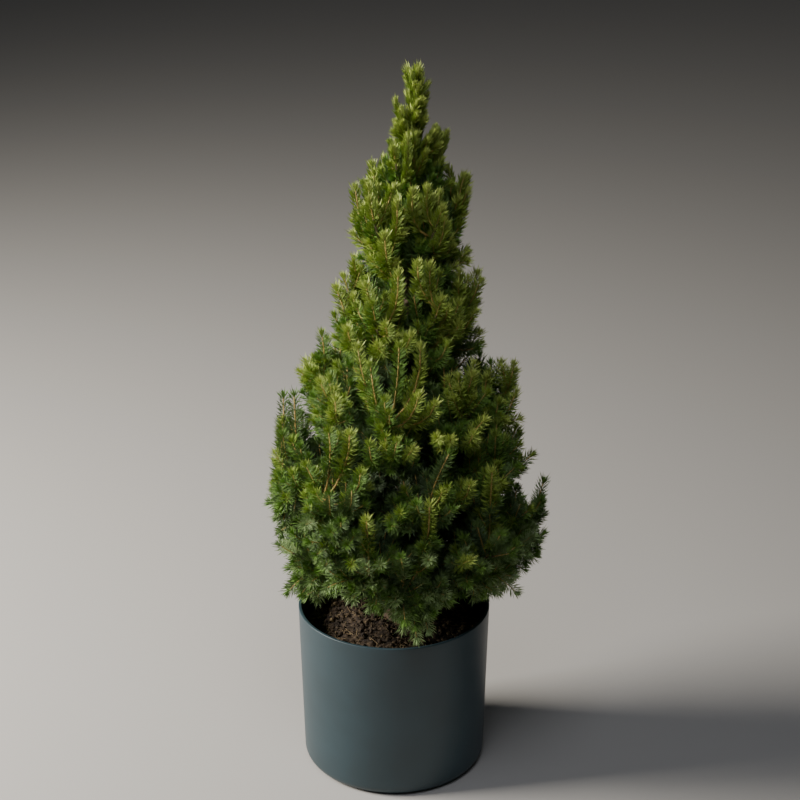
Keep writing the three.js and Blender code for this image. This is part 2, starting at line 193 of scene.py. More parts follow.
# ROOT BALL
# Moist peat compost with bark crumbs and coir fibres, knocked out of a nursery pot and set in the
# planter. Its surface is a rough mound that falls away to a rounded edge, with loose crumbs on it.
SOIL_TOP = 176.0
SOIL_EDGE = 166.0
SETTLED = 0.6
MOUND_POWER = 1.6
SOIL_RADIUS = 104.0
SHOULDER = 9.0
LEVEL_RADIUS = 20.0
BALL_UNDERSIDE = 5.4
BALL_SIDE = [(101.0, 60.0), (102.0, 100.0), (103.0, 140.0)]
SOIL_SIDES = 180
# Each layer of roughness: its height, its waves' size, their number and their seed.
SOIL_WAVES = [(0.9, 17, 9, 1), (0.75, 6.5, 12, 2), (0.5, 3, 14, 3)]
ROUGHNESS = 1.3
HIGHEST_LUMP = 2.4


def waves(points, size, count, seed):
    """A rough field round 0: the sum of count sine waves about size long, in seeded directions, over the
    square root of count."""
    draw = np.random.default_rng(seed)
    ways = draw.normal(size=(count, 3))
    ways /= np.linalg.norm(ways, axis=1, keepdims=True)
    ways *= (2 * np.pi / size) * draw.uniform(0.6, 1.7, (count, 1))
    return np.sin(points @ ways.T + draw.uniform(0, 6.3, count)).sum(-1) / np.sqrt(count)


def lumps(centres, radii, seed):
    """Rough lumps round centres: an icosahedron each, with every corner pushed in or out along its own
    radius, and the whole stretched along the axes."""
    golden = (1 + 5**0.5) / 2
    corners = np.array([[-1, golden, 0], [1, golden, 0], [-1, -golden, 0], [1, -golden, 0], [0, -1, golden],
                        [0, 1, golden], [0, -1, -golden], [0, 1, -golden], [golden, 0, -1], [golden, 0, 1],
                        [-golden, 0, -1], [-golden, 0, 1]]) / np.hypot(1, golden)
    sides = np.array([[0, 11, 5], [0, 5, 1], [0, 1, 7], [0, 7, 10], [0, 10, 11], [1, 5, 9], [5, 11, 4],
                      [11, 10, 2], [10, 7, 6], [7, 1, 8], [3, 9, 4], [3, 4, 2], [3, 2, 6], [3, 6, 8],
                      [3, 8, 9], [4, 9, 5], [2, 4, 11], [6, 2, 10], [8, 6, 7], [9, 8, 1]])
    draw = np.random.default_rng(seed)
    push = draw.uniform(0.68, 1.15, (len(centres), 12, 1)) * radii[:, None, None]
    stretch = draw.uniform(0.7, 1.3, (len(centres), 1, 3))
    points = centres[:, None] + corners * push * stretch
    return points.reshape(-1, 3), (sides[None] + np.arange(len(centres))[:, None, None] * 12).reshape(-1, 3)


def soil_height(x, y):
    """The mound's height: level at the trunk, then lower by a power of the distance from it."""
    away = np.clip((np.hypot(x, y) - LEVEL_RADIUS) / (SOIL_RADIUS - SHOULDER - LEVEL_RADIUS), 0, 1)
    return SOIL_TOP - SETTLED - (SOIL_TOP - SOIL_EDGE) * away**MOUND_POWER


top_radii = np.linspace(95, 1.5, 62)
soil_profile = (
    [(r, BALL_UNDERSIDE) for r in (20, 50, 80)]
    + arc(88.0, 18.0, 12.4, -90, 0, 6)
    + BALL_SIDE
    + arc(SOIL_RADIUS - SHOULDER, SOIL_EDGE - SHOULDER, SHOULDER, 0, 80, 10)
    + [(r, soil_height(r, 0.0)) for r in top_radii]
)
soil_points = turned(soil_profile, SOIL_SIDES)
soil_away = np.hypot(soil_points[:, 0], soil_points[:, 1])
# The roughness fades away down the ball's side and round the trunk's foot.
on_top = np.clip((soil_points[:, 2] - 150) / 12, 0, 1) * np.clip((soil_away - 8) / 10, 0, 1)
rough = sum(height * waves(soil_points, size, count, seed) for height, size, count, seed in SOIL_WAVES)
soil_points[:, 2] += np.minimum(on_top * rough * ROUGHNESS, HIGHEST_LUMP)
# Moist peat is matt and nearly black, with paler dry crumbs on its lumps.
peat, tree, shader, place = surface("moist_peat", 0.95)
peat_browns = [(0.3, "#1d1610"), (0.48, "#362b1f"), (0.62, "#544533"), (0.74, "#2a221a")]
mottled(tree, shader, place, 5, peat_browns, 6.0)
grained(tree, shader, place, 1.2, 0.8)
piece("root_ball", soil_points, skin(len(soil_profile), SOIL_SIDES), peat, ["soil"])

# Crumbs lie evenly over the mound. Most are small, and each is sunk by up to half.
CRUMBS = 1700
CRUMB_REACH = 96.0
SMALLEST_CRUMB = 1.0
CRUMB_RANGE = 2.8
DARK_CRUMBS = 0.6
random = np.random.default_rng(41)
crumb_away = CRUMB_REACH * np.sqrt(random.uniform(0.012, 1, CRUMBS))
crumb_turn = random.uniform(0, 2 * np.pi, CRUMBS)
crumb_x = crumb_away * np.cos(crumb_turn)
crumb_y = crumb_away * np.sin(crumb_turn)
crumb_radius = SMALLEST_CRUMB + CRUMB_RANGE * random.random(CRUMBS) ** 3
crumb_z = soil_height(crumb_x, crumb_y) + crumb_radius * random.uniform(0.0, 0.7, CRUMBS)
crumb_centres = np.stack([crumb_x, crumb_y, crumb_z], 1)
# Composted pine bark is dry, fibrous and brown, and stands out against the peat.
bark_crumb, tree, shader, place = surface("bark_crumb", 0.9)
mottled(tree, shader, place, 7, [(0.35, "#2a2018"), (0.5, "#5a4a36"), (0.66, "#82704f")], 4.0)
grained(tree, shader, place, 1.0, 0.5)
dark = random.random(CRUMBS) < DARK_CRUMBS
for name, chosen, material in (("peat_crumbs", dark, peat), ("bark_crumbs", ~dark, bark_crumb)):
    points, faces = lumps(crumb_centres[chosen], crumb_radius[chosen], len(name))
    piece(name, points, faces, material, smooth=False)

# Fibres lie in any direction, a little bent, with their ends up.
FIBRES = 170
FIBRE_REACH = 92.0
FIBRE_RADIUS = 0.34
FIBRE_LIFT = 1.6
FIBRE_END_LIFT = 1.2
fibre_away = FIBRE_REACH * np.sqrt(random.uniform(0.02, 1, FIBRES))
fibre_turn = random.uniform(0, 2 * np.pi, FIBRES)
fibre_way = random.uniform(0, 2 * np.pi, FIBRES)
fibre_length = random.uniform(4, 17, FIBRES)
fibre_steps = np.linspace(-0.5, 0.5, 5)
fibre_bend = random.normal(0, 0.16, (FIBRES, 2))


def tubes(centres, radii, sides):
    """Closed tubes: rings of points square to each path, at a radius from it. centres is (tube, ring, 3),
    and radii is (tube, ring) or (tube, ring, side). Returns the points and the triangles."""
    count, rings = centres.shape[:2]
    along = np.gradient(centres, axis=1)
    along /= np.linalg.norm(along, axis=2, keepdims=True)
    steep = np.abs(along.mean(1)[:, None, 2:]) > 0.85
    side = np.cross(np.where(steep, [1.0, 0, 0], [0, 0, 1.0]), along)
    side /= np.linalg.norm(side, axis=2, keepdims=True)
    over = np.cross(along, side)
    turn = np.arange(sides) * 2 * np.pi / sides
    outward = side[:, :, None] * np.cos(turn)[:, None] + over[:, :, None] * np.sin(turn)[:, None]
    width = radii[:, :, None] if radii.ndim == 2 else radii
    ring = (centres[:, :, None] + outward * width[..., None]).reshape(count, -1, 3)
    points = np.concatenate([ring, centres[:, :1], centres[:, -1:]], 1)
    return points.reshape(-1, 3), skin(rings, sides, count)


run = fibre_steps * fibre_length[:, None]
bow = run**2 / fibre_length[:, None]
fibre_x = (fibre_away * np.cos(fibre_turn))[:, None] + run * np.cos(fibre_way)[:, None]
fibre_y = (fibre_away * np.sin(fibre_turn))[:, None] + run * np.sin(fibre_way)[:, None]
fibre_x += bow * fibre_bend[:, :1]
fibre_y += bow * fibre_bend[:, 1:]
fibre_z = soil_height(fibre_x, fibre_y) + FIBRE_LIFT + FIBRE_END_LIFT * (4 * fibre_steps**2)
fibre_radii = np.full((FIBRES, len(fibre_steps)), FIBRE_RADIUS)
points, faces = tubes(np.stack([fibre_x, fibre_y, fibre_z], 2), fibre_radii, 4)
# Coir is a dry, pale brown husk fibre.
coir, tree, shader, place = surface("coir_fibre", 0.85)
mottled(tree, shader, place, 12, [(0.35, "#5e4c36"), (0.65, "#9c8763")])
piece("coir_fibres", points, faces, coir)

# TRUNK
# One stem of live spruce wood under thin bark that splits into small grey-brown scales. It flares
# where it enters the soil, leans to the right, sways a little and tapers to the leading shoot.
GAP = 0.3
TRUNK_FOOT = SOIL_TOP + GAP
TRUNK_TOP = 700.0
TIP_HEIGHT = 819.0
LEAN_AT_TIP = 24.0
SWAY_AT_TIP = 2.5
TRUNK_FOOT_RADIUS = 7.6
TRUNK_TAPER = 5.7
FLARE = 5.5
FLARE_HEIGHT = 11.0
ROOT_LOBES = 4
LOBE_DEPTH = 1.3
LOBE_HEIGHT = 9.0
TRUNK_SIDES = 40
UP = np.array([0.0, 0, 1])


def trunk_centre(height):
    """The trunk's centre at a height: a straight lean, and a slow sine that grows with height."""
    share = (np.asarray(height, float) - TRUNK_FOOT) / (TIP_HEIGHT - TRUNK_FOOT)
    return np.stack([LEAN_AT_TIP * share, SWAY_AT_TIP * np.sin(share * 9) * share, share * 0 + height], -1)


def trunk_radius(height):
    """The trunk's radius at a height: a straight taper, and a flare that dies away above the soil."""
    share = (height - TRUNK_FOOT) / (TRUNK_TOP - TRUNK_FOOT)
    return TRUNK_FOOT_RADIUS - TRUNK_TAPER * share + FLARE * np.exp(-(height - TRUNK_FOOT) / FLARE_HEIGHT)


def bark_relief(centres, radii, sides, scale_mm, depth_mm):
    """Radii of a limb with scaly bark: waves round the limb, hardened into scales with cracks between,
    longer along the limb than round it."""
    turn = np.arange(sides) * 2 * np.pi / sides
    down = np.cumsum(np.linalg.norm(np.diff(centres, axis=1, prepend=centres[:, :1]), axis=2), 1)
    shape = (*radii.shape, sides)
    where = np.stack([np.broadcast_to(radii[..., None] * np.cos(turn), shape),
                      np.broadcast_to(radii[..., None] * np.sin(turn), shape),
                      np.broadcast_to(0.45 * (down + centres[:, :1, 0])[..., None], shape)], -1)
    rough = waves(where, scale_mm, 12, 7)
    scales = np.tanh(2.5 * rough) + 0.35 * waves(where, scale_mm / 3, 10, 8)
    return radii[..., None] + depth_mm * scales * np.minimum(radii[..., None] / 5, 1)


# Rings lie closer together at the foot, where the flare is.
trunk_heights = TRUNK_FOOT + (TRUNK_TOP - TRUNK_FOOT) * np.linspace(0, 1, 300) ** 1.15
trunk_path = trunk_centre(trunk_heights)[None]
trunk_widths = bark_relief(trunk_path, trunk_radius(trunk_heights)[None], TRUNK_SIDES, 5.0, 0.28)
# The flare is drawn in between its roots, less and less upward.
root_turn = np.arange(TRUNK_SIDES) * 2 * np.pi / TRUNK_SIDES
root_lobes = np.exp(-(trunk_heights - TRUNK_FOOT) / LOBE_HEIGHT)[:, None]
root_lobes = root_lobes * (np.cos(ROOT_LOBES * root_turn + 0.7) - 1)
points, faces = tubes(trunk_path, trunk_widths + LOBE_DEPTH * root_lobes[None], TRUNK_SIDES)
# Spruce bark is grey-brown and matt, in thin scales with darker cracks between them.
bark, tree, shader, place = surface("spruce_bark", 0.85)
bark_greys = [(0.3, "#4e4034"), (0.5, "#7a6653"), (0.66, "#998573"), (0.8, "#675445")]
mottled(tree, shader, place, 4, bark_greys, 5.0)
grained(tree, shader, place, 1.3, 0.25)
piece("trunk_bark", np.maximum(points, [-1e9, -1e9, TRUNK_FOOT]), faces, bark, ["trunk"])

# BOUGHS
# Limbs of the same wood, in whorls up the trunk. Each bends once, outward and then up, and tapers
# from a collar on the trunk to a thin tip inside its mass of shoots.
GOLDEN_RATIO = 0.618034
TURN_STRAY = 8.0
HEIGHT_STRAY = 14.0
FOOT_STEP = 7.0
TIP_ROOM = 3.0
SKIRT_RISE = 30.0
LIMB_TIP_RADIUS = 1.2
LIMB_TAPER = 0.012
OLD_WOOD_END = 0.86
BOUGH_SIDES = 10
# The swelling at a limb's foot: its share of the limb's radius, where it starts to die away, and over
# what length.
COLLAR_SWELL = 0.7
COLLAR_START = 7.0
COLLAR_FADE = 5.0
# How far the foliage reaches from the trunk's line at each height, on the right and on the left.
CROWN_HEIGHTS = [190, 215, 250, 340, 390, 450, 490, 515, 590, 690, 716, 755, 790, 823]
CROWN_RIGHT = [118, 134, 168, 171, 150, 130, 122, 88, 80, 64, 44, 33, 23, 14]
CROWN_LEFT = [118, 124, 142, 165, 152, 143, 104, 97, 76, 62, 40, 29, 22, 14]
# Each whorl: its name, its number of limbs, the first limb's turn in degrees, the heights of the limbs'
# feet and tips, how far out and up a limb bends, the share of it that is bare, and its twigs' lean in
# degrees, lift, share of the crown's reach and longest length.
WHORLS = [
    ("skirt", 6, 30, 184, 220, 0.5, 2, 0.2, 56, 0.15, 0.9, 64),
    ("low", 7, 0, 222, 308, 0.58, 0.34, 0.3, 56, 0.45, 0.86, 64),
    ("broad", 7, 26, 256, 392, 0.62, 0.34, 0.26, 54, 0.75, 0.82, 60),
    ("middle", 7, 12, 334, 478, 0.64, 0.36, 0.16, 52, 0.85, 0.78, 54),
    ("upper", 6, 0, 444, 586, 0.62, 0.38, 0.16, 48, 0.85, 0.8, 48),
    ("shoulder", 5, 12, 560, 690, 0.64, 0.4, 0.16, 44, 0.75, 0.8, 42),
    ("crest", 3, 0, 660, 731, 0.66, 0.42, 0.1, 36, 0.6, 0.54, 24),
]


def chance(limb, twig, use):
    """The fraction of a fast sine wave: a repeatable number from 0 to 1 for each trio of numbers."""
    wave = np.sin(limb * 12.9898 + twig * 78.233 + use * 37.719) * 43758.5453
    return wave - np.floor(wave)


def crown_reach(height, azimuth):
    """How far the foliage reaches at a height, the two sides' reaches blended round the trunk."""
    right = np.interp(height, CROWN_HEIGHTS, CROWN_RIGHT)
    left = np.interp(height, CROWN_HEIGHTS, CROWN_LEFT)
    return (right + left) / 2 + (right - left) / 2 * np.cos(azimuth)


class Limb:
    """A limb's curve is a parabola from foot to tip, drawn towards its bend. Its radius shrinks evenly
    along it."""

    def __init__(self, number, foot, bend, tip, bare, lean, lift, fill, longest):
        self.number, self.foot, self.bend, self.tip = number, foot, bend, tip
        self.bare, self.lean, self.lift, self.fill, self.longest = bare, lean, lift, fill, longest
        self.length = np.linalg.norm(np.diff(self.at(np.linspace(0, 1, 201)), axis=0), axis=1).sum()

    def at(self, share):
        s = np.asarray(share, float)[..., None]
        return (1 - s) ** 2 * self.foot + 2 * s * (1 - s) * self.bend + s**2 * self.tip

    def way(self, share):
        s = np.asarray(share, float)[..., None]
        way = (1 - s) * (self.bend - self.foot) + s * (self.tip - self.bend)
        return way / np.linalg.norm(way, axis=-1, keepdims=True)

    def radius(self, share):
        return LIMB_TIP_RADIUS + LIMB_TAPER * self.length * (1 - share)


limbs = []
for w, (name, count, turn, foot, tip, out, up, bare, lean, lift, fill, longest) in enumerate(WHORLS):
    for index in range(count):
        number = 10 * (w + 1) + index
        stray = [2 * chance(number, 0, use) - 1 for use in (1, 2)]
        azimuth = np.radians(turn + 360 * index / count + TURN_STRAY * stray[0])
        tip_height = tip + HEIGHT_STRAY * stray[1]
        if name == "skirt":
            # At the front the photograph shows the lowest limbs held higher, so that the soil is in view,
            # and highest towards the sides.
            to_side = np.interp(np.cos(azimuth), [-1, 0, 1], [1.35, 1, 1.9])
            tip_height += SKIRT_RISE * np.clip(-2 * np.sin(azimuth), 0, 1) * to_side
        outward = np.array([np.cos(azimuth), np.sin(azimuth), 0])
        reach = crown_reach(tip_height, azimuth) - TIP_ROOM
        start = trunk_centre(foot + FOOT_STEP * (index * 2 % count))
        end = trunk_centre(tip_height) + outward * reach
        bend = start + outward * reach * out + UP * (end - start)[2] * up
        limbs.append(Limb(number, start, bend, end, bare, lean, lift, fill, longest))
leader_heights = (TRUNK_TOP + GAP, (TRUNK_TOP + TIP_HEIGHT) / 2, TIP_HEIGHT)
limbs.append(Limb(90, *(trunk_centre(h) for h in leader_heights), 0, 24, 0.05, 0.7, 20))

limb_shares = np.linspace(0, 1, 44)
# The old wood ends inside each limb's last shoot.
limb_paths = np.stack([limb.at(OLD_WOOD_END * limb_shares) for limb in limbs])
from_trunk = limb_shares * np.array([[limb.length] for limb in limbs])
collars = 1 + COLLAR_SWELL * np.exp(-np.maximum(from_trunk - COLLAR_START, 0) / COLLAR_FADE)
# The leader grows straight on from the trunk, with no collar.
collars[-1] = 1
limb_radii = np.stack([limb.radius(limb_shares) for limb in limbs]) * collars
limb_radii[:, -1] *= 0.5
limb_widths = bark_relief(limb_paths, limb_radii, BOUGH_SIDES, 3.6, 0.2)
points, faces = tubes(limb_paths, limb_widths, BOUGH_SIDES)
piece("bough_bark", points, faces, bark, [n for n in NODES if n.startswith("bough_")])

# SHOOTS
# Young wood: twigs of the last few years with side shoots, in each limb's own space. Their bark is
# smooth and tan, and shows between the needles. Each is a parabola: root, bend and tip.
LONGEST_TWIG = 116.0
SHORTEST_TWIG = 17.0
SHORTEST_SIDE_SHOOT = 16.0
PATH_STEP = 3.0
# How far a twig may pass its limb's planes, and how far its tip keeps inside the crown's reach.
CLOSE = 20.0
NEEDLE_ROOM = 8.0
RIM_ROOM = 10.0
WALL_ROOM = 12.0
TRUNK_ROOM = 4.0
# The share of the reach that is left at the front for the measured shoots below.
FRONT_ROOM = 0.08
# The slope that the front tips keep above: its height at the trunk, its rise towards the front, the
# dip in it, and how far it goes to either side.
VIEW_HEIGHT = 190.0
VIEW_RISE = 0.52
VIEW_DIP = 25.0
VIEW_DIP_PLACE = 24.0
VIEW_DIP_WIDTH = 20.0
VIEW_SIDES = 104.0
LONGEST_SIDE_SHOOT = 34.0
SIDE_SHOOT_SPACING = 13.0
SIDE_LEAN = 38.0
SIDE_LEAN_STRAY = 16.0
TWIG_LEAN_STRAY = 22.0
# A twig's end lifts by its lift times the square of its length, over this length.
LIFT_LENGTH = 70.0
# This much of a twig may lie anywhere, as it starts among its own limb's needles.
FREE_FOOT = 12.0
# A twig longer than this has dropped the needles from more of its foot.
LONG_TWIG = 45.0
ANYWHERE = (np.zeros((1, 3)), np.zeros((1, 3)))


def planes_of(own):
    """The planes halfway between a limb's outer part and every other limb's, each towards its own side."""
    inward, middle = [], []
    lines = {limb.number: limb.at(np.linspace(0 if limb is limbs[-1] else 0.4, 1, 13)) for limb in limbs}
    mine = lines[own.number]
    for limb in limbs:
        if limb is own:
            continue
        across = mine[:, None] - lines[limb.number][None]
        apart = np.linalg.norm(across, axis=2)
        i, j = np.unravel_index(apart.argmin(), apart.shape)
        inward.append(across[i, j] / apart[i, j])
        middle.append((mine[i] + lines[limb.number][j]) / 2)
    return np.array(inward), np.array(middle)


def free(points, planes, limit):
    """Whether points lie within a share of the crown's reach, on their limb's side of its planes or just
    past them, and clear of the trunk and the planter. At the front they also keep above a slope that
    leaves the soil in view, as the photograph shows it, with a dip to the right of the trunk."""
    centre = trunk_centre(points[..., 2])
    x, y = points[..., 0] - centre[..., 0], points[..., 1] - centre[..., 1]
    away = np.hypot(x, y)
    limit = limit * (1 - FRONT_ROOM * np.clip(-y / away, 0, 1))
    inside = away < limit * crown_reach(points[..., 2], np.arctan2(y, x)) - NEEDLE_ROOM
    inward, middle = planes
    own = ((points[..., None, :] - middle) * inward).sum(-1).min(-1) > -CLOSE
    off_axis = np.hypot(points[..., 0], points[..., 1])
    over_rim = (points[..., 2] > POT_HEIGHT + RIM_ROOM) | (off_axis > RIM_RADIUS + WALL_ROOM)
    dip = VIEW_DIP * np.exp(-(((points[..., 0] - VIEW_DIP_PLACE) / VIEW_DIP_WIDTH) ** 2))
    slope = VIEW_HEIGHT - VIEW_RISE * points[..., 1] - dip
    in_view = (points[..., 2] > slope) | (points[..., 1] > 0) | (np.abs(points[..., 0]) > VIEW_SIDES)
    off_trunk = away > trunk_radius(np.clip(points[..., 2], TRUNK_FOOT, TRUNK_TOP)) + TRUNK_ROOM
    off_trunk |= points[..., 2] > TRUNK_TOP
    return inside & own & over_rim & in_view & off_trunk & (points[..., 2] < TIP_HEIGHT)


def branch(way, lean, roll, pull):
    """A direction that leaves way by lean, rolled round it by roll, and pulled upward."""
    helper = np.array([1.0, 0, 0]) if abs(way[2]) > 0.98 else UP
    side = np.cross(helper, way)
    side /= np.linalg.norm(side)
    over = np.cross(way, side)
    made = way * np.cos(lean) + (side * np.cos(roll) + over * np.sin(roll)) * np.sin(lean) + UP * pull
    return made / np.linalg.norm(made)


# Each shoot: its root, bend and tip, the share of it that bears no needles, and a number of its own.
# That is its limb's number and a fraction. The trunk's twigs and the measured shoots count from these.
TRUNK_NUMBER = 120
FIRST_UPRIGHT = 200
shoots = []
steps = np.arange(2.0, LONGEST_TWIG, PATH_STEP)


def add_sides(start, bend, tip, first, last, count, longest, lift, number, planes, limit):
    """Side shoots of a shoot between two shares of its length, shorter towards its tip."""
    length = np.linalg.norm(tip - start)
    for k in range(count):
        along = first + (last - first) * (k + 0.6 * chance(number, k, 8)) / count
        way = (1 - along) * (bend - start) + along * (tip - bend)
        roll = 2 * np.pi * ((chance(number, 0, 7) + GOLDEN_RATIO * k) % 1)
        lean = np.radians(SIDE_LEAN + SIDE_LEAN_STRAY * (chance(number, k, 9) - 0.5))
        out = branch(way / np.linalg.norm(way), lean, roll, 0.3)
        side_root = (1 - along) ** 2 * start + 2 * along * (1 - along) * bend + along**2 * tip
        reach = np.clip(0.55 * length * (1 - along) + 11, SHORTEST_SIDE_SHOOT, longest)
        reach *= 0.75 + 0.4 * chance(number, k, 10)
        for cut in (1, 0.75, 0.55):
            end = side_root + out * reach * cut + UP * 0.5 * lift * reach * cut
            if free(end, planes, limit):
                shoots.append((side_root, side_root + out * reach * cut / 2, end, 0.05, number + k / 997))
                break


def grow(start, way, wanted, lift, number, planes, limit):
    """A shoot with side shoots, as long as wanted or as its room allows. Its end lifts by the square."""
    path = start + way * steps[:, None] + UP * (lift / LIFT_LENGTH * steps**2)[:, None]
    open_to = free(path, planes, limit) | (steps < FREE_FOOT)
    room = steps[-1] if open_to.all() else steps[open_to.argmin()]
    length = min(room, wanted)
    if length < SHORTEST_TWIG:
        return
    tip = path[0] + way * (length - steps[0]) + UP * (lift / LIFT_LENGTH * length**2)
    bend = start + way * length / 2
    shoots.append((start, bend, tip, 0.3 if length > LONG_TWIG else 0.1, number))
    count = int((length - SHORTEST_SIDE_SHOOT) / SIDE_SHOOT_SPACING)
    add_sides(start, bend, tip, 0.22, 0.72, count, LONGEST_SIDE_SHOOT, lift, number, planes, limit)


# Every limb: its end and its own line first, then twigs from the tip inward, a golden turn apart.
# They are longer towards the trunk, and longer where they point up.
FEWEST_TWIGS = 7
TWIG_SPACING = 7
OUTERMOST_TWIG = 0.95
for limb in limbs:
    planes = planes_of(limb)
    number = limb.number
    shoots.append((limb.at(0.8), limb.at(0.9), limb.tip, 0.0, number + 0.1))
    knots = limb.at(np.linspace(limb.bare + 0.12 * (limb is not limbs[-1]), 0.8, 7))
    for i in (0, 2, 4):
        shoots.append((knots[i], knots[i + 1], knots[i + 2], 0.0, number + 0.2 + i / 50))
    tries = int(FEWEST_TWIGS + limb.length / TWIG_SPACING)
    for j in range(tries):
        share = OUTERMOST_TWIG - (OUTERMOST_TWIG - limb.bare) * j / tries
        roll = np.radians(110 + 320 * ((chance(number, 0, 4) + GOLDEN_RATIO * j) % 1))
        lean = np.radians(limb.lean + TWIG_LEAN_STRAY * (chance(number, j, 5) - 0.5))
        way = branch(limb.way(share), lean, roll, 0.2 + 0.2 * limb.lift)
        wanted = (18 + 0.62 * (1 - share) * limb.length) * (0.8 + 0.4 * max(way[2], 0))
        wanted = min(wanted, limb.longest * (0.7 + 0.3 * chance(number, j, 6)))
        limit = limb.fill + (1 - limb.fill) * chance(number, j, 11) ** 2
        grow(limb.at(share), way, wanted, limb.lift, number + j / 97, planes, limit)

# The trunk bears twigs between its whorls, steeper and shorter towards the top.
TRUNK_TWIGS = 120
LOWEST_TRUNK_TWIG = 236
HIGHEST_TRUNK_TWIG = 726
LONGEST_TRUNK_TWIG = 112.0
SHORTEST_TRUNK_TWIG = 34.0
FLATTEST_RISE = 12
STEEPEST_RISE = 58
RISE_STRAY = 16
for j in range(TRUNK_TWIGS):
    share = (j / TRUNK_TWIGS) ** 1.15
    azimuth = 2 * np.pi * GOLDEN_RATIO * j
    rise = FLATTEST_RISE + (STEEPEST_RISE - FLATTEST_RISE) * share
    rise = np.radians(rise + RISE_STRAY * (chance(TRUNK_NUMBER, j, 2) - 0.5))
    outward = np.array([np.cos(azimuth), np.sin(azimuth), 0])
    height = LOWEST_TRUNK_TWIG + (HIGHEST_TRUNK_TWIG - LOWEST_TRUNK_TWIG) * share
    start = trunk_centre(height) + outward * 2
    limit = 0.72 + 0.2 * chance(TRUNK_NUMBER, j, 3)
    way = outward * np.cos(rise) + UP * np.sin(rise)
    wanted = LONGEST_TRUNK_TWIG - (LONGEST_TRUNK_TWIG - SHORTEST_TRUNK_TWIG) * share
    grow(start, way, wanted, 0.25, TRUNK_NUMBER + j / 97, ANYWHERE, limit)

